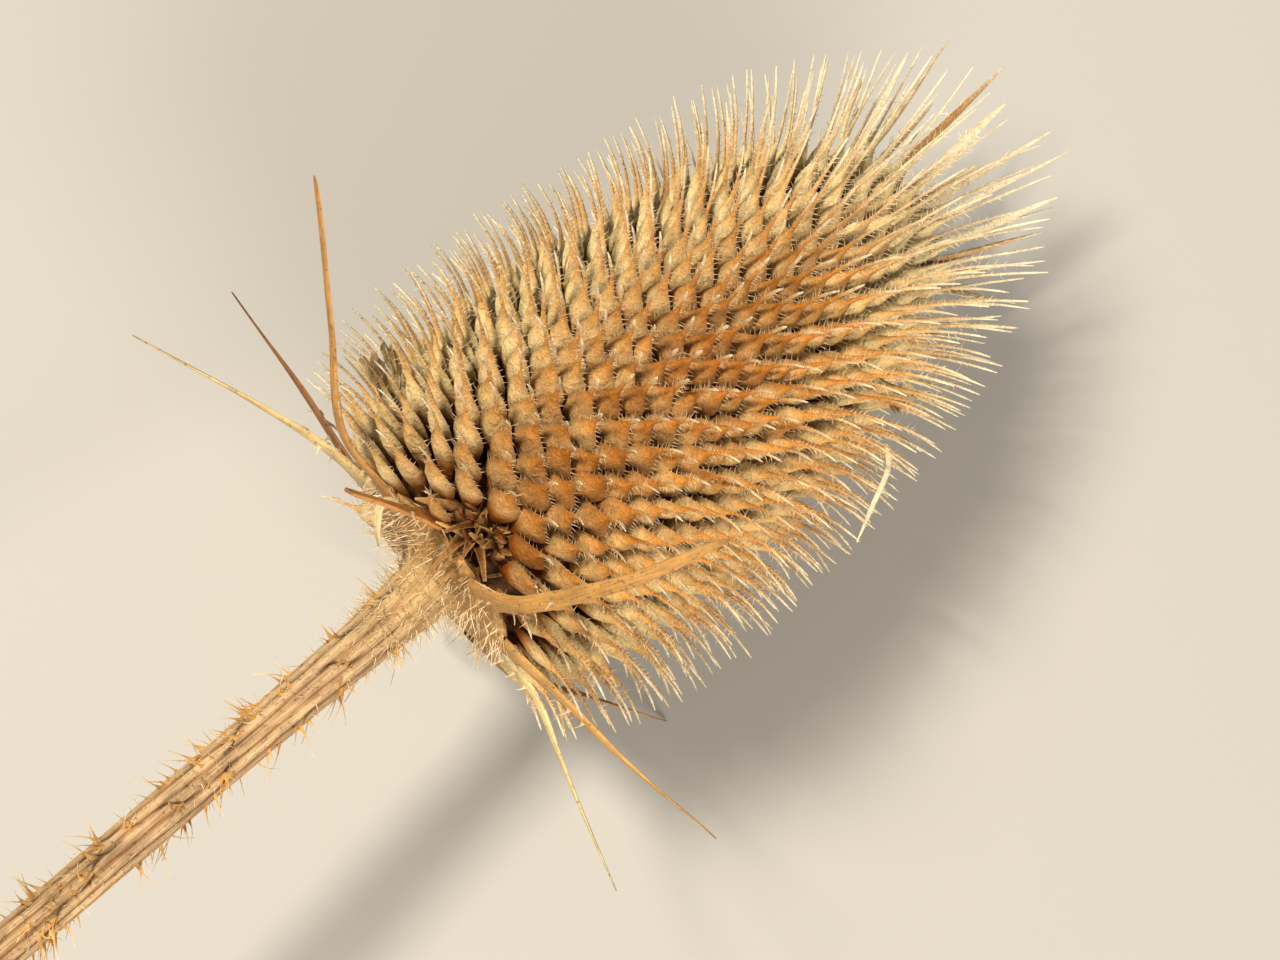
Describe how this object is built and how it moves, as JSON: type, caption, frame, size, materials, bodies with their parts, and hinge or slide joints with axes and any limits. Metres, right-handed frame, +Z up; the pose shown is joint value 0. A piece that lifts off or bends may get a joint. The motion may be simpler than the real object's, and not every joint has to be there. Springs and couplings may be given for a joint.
{
  "type": "dried teasel seed head",
  "caption": "Dried teasel seed head lying on its side: an egg-shaped cone of spiny scales in spirals, long curved bracts under it, and a ribbed, prickly cut stem.",
  "frame": {"origin": "on the ground under the middle of the part's bounding box", "axes": "+X runs along the part from the cut end of the stem to the tip of the head, +Z is up from the ground it lies on, +Y completes a right-handed frame"},
  "size_m": [0.1364, 0.0634, 0.0477],
  "materials": {
    "stem": "matt, dry, ribbed and prickly",
    "scales": "smooth cream shoulders, golden brown below, fibrous orange-brown awns with pale tips",
    "bracts": "matt, finely striped along their length",
    "tuft": "stiff, straw-coloured, paler at the tips"
  },
  "bodies": {
    "root": {"stem": "stem", "seed_head": "scales", "involucral_bract_01": "bracts", "involucral_bract_02": "bracts", "involucral_bract_03": "bracts", "involucral_bract_04": "bracts", "involucral_bract_05": "bracts", "involucral_bract_06": "bracts", "involucral_bract_07": "bracts", "involucral_bract_08": "bracts", "involucral_bract_09": "bracts", "involucral_bract_10": "bracts", "broken_bract": "bracts", "coma_bract_01": "tuft", "coma_bract_02": "tuft", "coma_bract_03": "tuft", "coma_bract_04": "tuft", "coma_bract_05": "tuft", "coma_bract_06": "tuft", "coma_bract_07": "tuft", "coma_bract_08": "tuft", "coma_bract_09": "tuft", "coma_bract_10": "tuft", "coma_bract_11": "tuft", "coma_bract_12": "tuft"}
  },
  "joints": []
}
